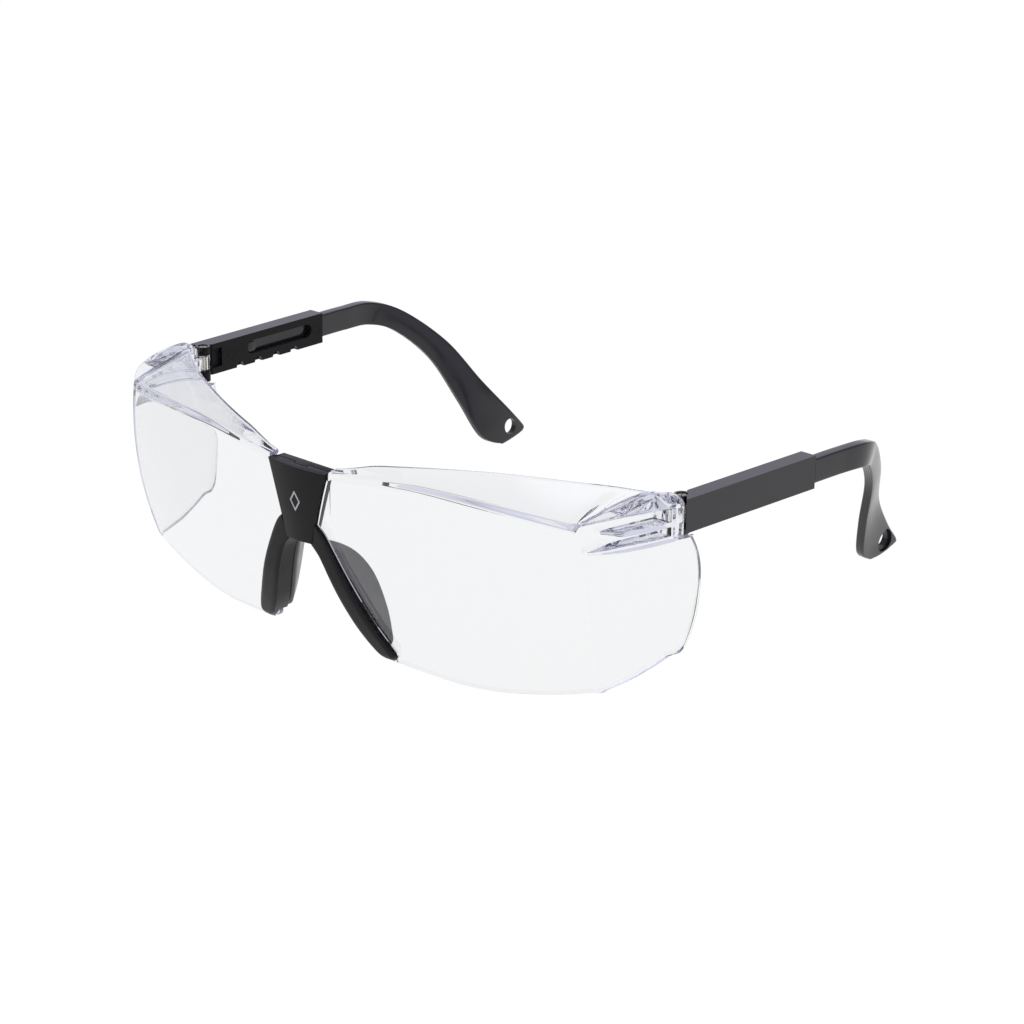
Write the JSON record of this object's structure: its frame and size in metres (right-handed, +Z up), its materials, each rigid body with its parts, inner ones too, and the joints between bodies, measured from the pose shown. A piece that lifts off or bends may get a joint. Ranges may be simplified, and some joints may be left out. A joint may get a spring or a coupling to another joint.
{
  "type": "sports protective goggles",
  "caption": "Clear wraparound eye protector with a brow ledge, side shields, a bridge with nose frame and soft pads, and folding temples that slide to length and carry strap holes.",
  "frame": {"origin": "centre of the bounding box, on the surface that the goggles stand on", "axes": "+X to the wearer's left, -Y to the front, +Z up"},
  "size_m": [0.153, 0.13, 0.0482],
  "materials": {
    "clear_plastic": "polished clear polycarbonate",
    "satin_black": "satin",
    "gloss_black": "glossy with satin inner faces",
    "pad_grey": "smooth soft rubber",
    "screw_steel": "bright"
  },
  "bodies": {
    "front": {"lens_shield": "clear_plastic", "bridge_cover": "satin_black", "bridge_clip": "satin_black", "nose_frame": "satin_black", "nose_pad_left": "pad_grey", "nose_pad_right": "pad_grey"},
    "sleeve_left": {"temple_sleeve_left": "gloss_black", "hinge_screw_left": "screw_steel"},
    "arm_left": {"temple_arm_left": "gloss_black"},
    "sleeve_right": {"temple_sleeve_right": "gloss_black", "hinge_screw_right": "screw_steel"},
    "arm_right": {"temple_arm_right": "gloss_black"}
  },
  "joints": [
    {"name": "left_temple_hinge", "type": "hinge", "parent": "front", "child": "sleeve_left", "pos_m": [0.072, -0.02542, 0.04394], "axis": [0, 0.0478, 0.9989], "range_deg": [0, 90]},
    {"name": "right_temple_hinge", "type": "hinge", "parent": "front", "child": "sleeve_right", "pos_m": [-0.072, -0.02542, 0.04394], "axis": [0, -0.0478, -0.9989], "range_deg": [0, 82]},
    {"name": "left_temple_length", "type": "slide", "parent": "sleeve_left", "child": "arm_left", "axis": [0.0254, 0.9985, -0.0478], "range_m": [0, 0.0174]},
    {"name": "right_temple_length", "type": "slide", "parent": "sleeve_right", "child": "arm_right", "axis": [-0.0254, 0.9985, -0.0478], "range_m": [0, 0.0174]}
  ]
}
